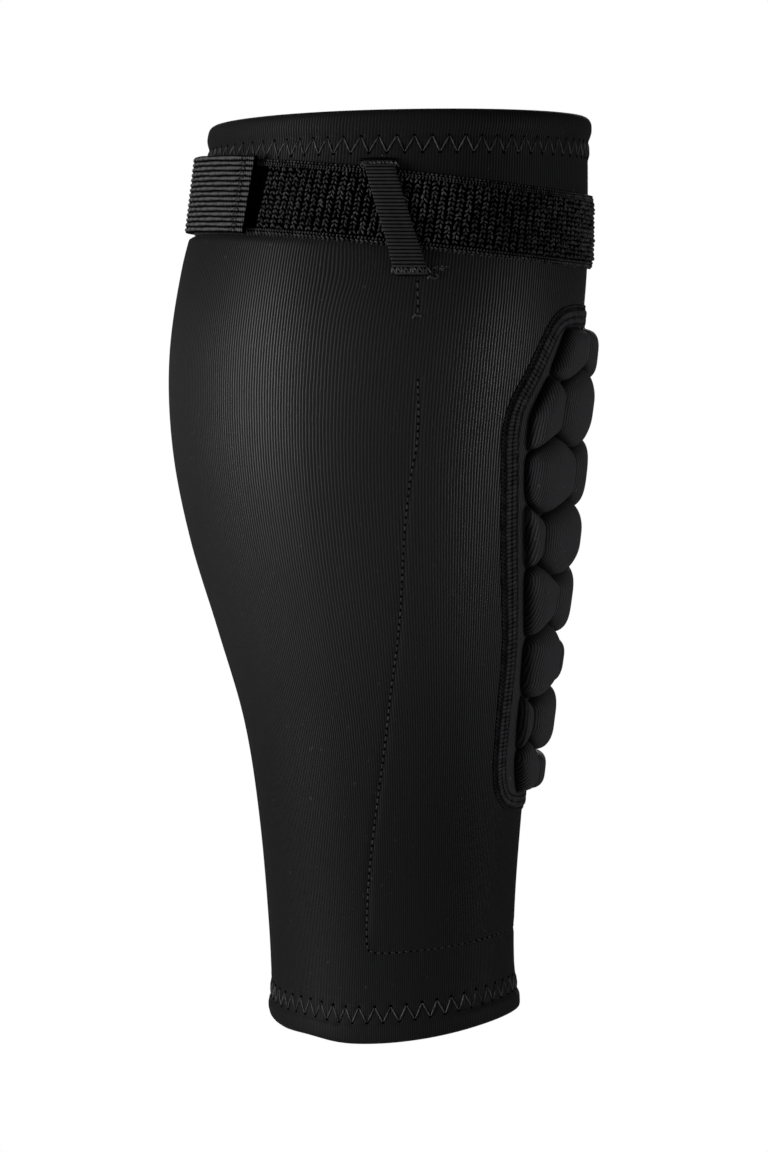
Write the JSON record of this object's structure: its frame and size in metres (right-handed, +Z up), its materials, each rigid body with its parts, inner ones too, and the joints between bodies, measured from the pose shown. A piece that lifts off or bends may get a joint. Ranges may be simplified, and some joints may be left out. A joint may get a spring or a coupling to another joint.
{
  "type": "waterski shin guard",
  "caption": "Neoprene calf sleeve with a moulded pad of raised foam cells over the shin and a touch-fastening strap with a pull tab and keeper below the knee.",
  "frame": {"origin": "on the leg's axis, at the mean level of the sleeve's lower edge", "axes": "+Z up the leg towards the knee, -Y out of the shin, +Y out of the calf, -X the side with the strap's tab and keeper"},
  "size_m": [0.1328, 0.1477, 0.313],
  "materials": {
    "neoprene": "fine knit face on foam, soft sheen",
    "pad_cloth": "fine ribbed knit, soft sheen",
    "seam_thread": "matt thread",
    "loop_pile": "matt looped pile",
    "ribbed_webbing": "ribbed weave, slight sheen",
    "ribbon": "fine ribbed weave, slight sheen"
  },
  "bodies": {
    "root": {"sleeve": "neoprene", "pad_panel": "pad_cloth", "pad_seam": "seam_thread", "cell_a1": "pad_cloth", "cell_a2": "pad_cloth", "cell_b1": "pad_cloth", "cell_b2": "pad_cloth", "cell_b3": "pad_cloth", "cell_c1": "pad_cloth", "cell_c2": "pad_cloth", "cell_d1": "pad_cloth", "cell_d2": "pad_cloth", "cell_d3": "pad_cloth", "cell_e1": "pad_cloth", "cell_e2": "pad_cloth", "cell_f1": "pad_cloth", "cell_f2": "pad_cloth", "cell_g1": "pad_cloth", "cell_g2": "pad_cloth", "cell_h1": "pad_cloth", "cell_h2": "pad_cloth", "strap": "loop_pile", "strap_tab": "ribbed_webbing", "strap_keeper": "ribbon"}
  },
  "joints": []
}
